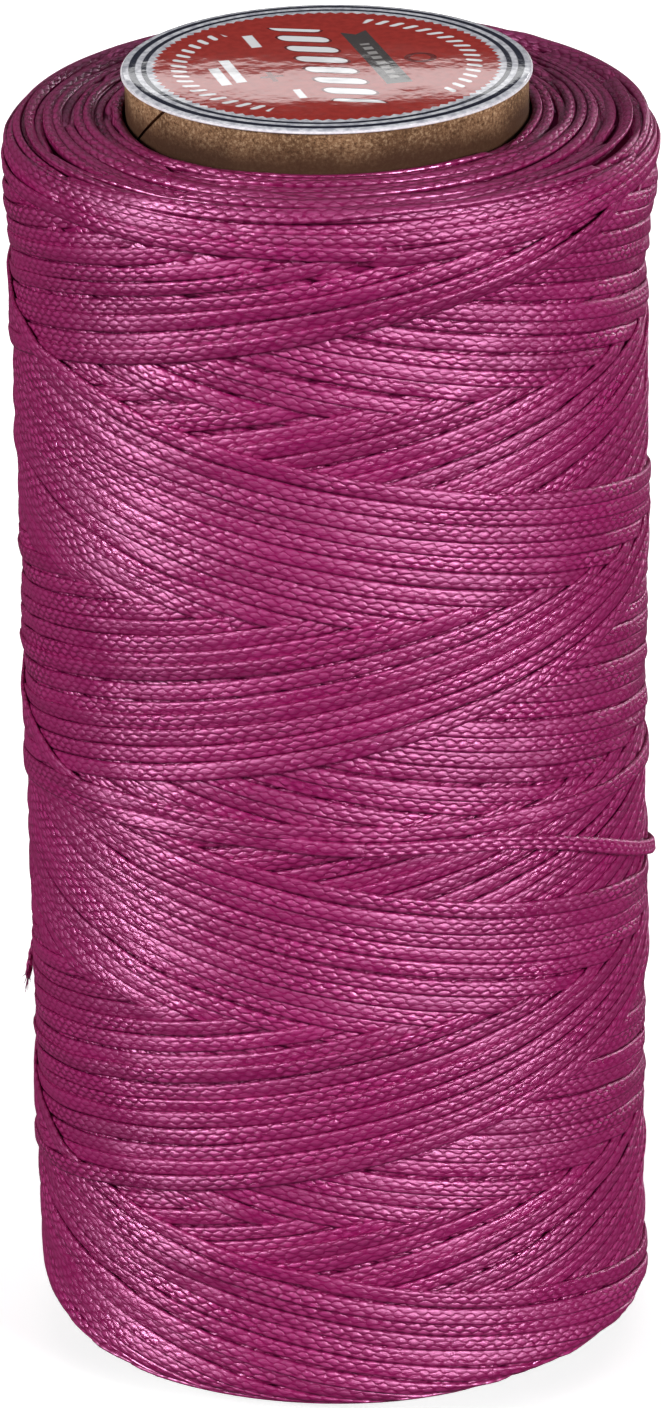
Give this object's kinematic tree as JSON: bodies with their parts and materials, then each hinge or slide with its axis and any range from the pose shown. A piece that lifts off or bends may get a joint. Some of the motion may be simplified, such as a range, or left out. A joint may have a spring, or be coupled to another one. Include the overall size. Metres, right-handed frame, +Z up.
{
  "type": "waxed thread spool",
  "caption": "Standing spool of flat waxed sewing thread, cross-wound on a spiral paper tube whose top is closed by a round laminated label and whose bottom is open for a spindle.",
  "frame": {"origin": "centre of the core's bottom rim, the face the spool stands on", "axes": "+Z up the spool's axis towards the label, -Y towards the side the picture shows"},
  "size_m": [0.0547, 0.054, 0.11],
  "materials": {
    "kraft_core": "matte",
    "label_print": "satin",
    "label_gloss": "gloss",
    "waxed_thread": "satin"
  },
  "bodies": {
    "root": {"core_inner_ply": "kraft_core", "core_middle_ply_1": "kraft_core", "core_middle_ply_2": "kraft_core", "core_middle_ply_3": "kraft_core", "core_outer_ply": "kraft_core", "label_paper": "label_print", "label_film": "label_gloss", "thread_winding": "waxed_thread", "thread_loose_strand": "waxed_thread"}
  },
  "joints": []
}
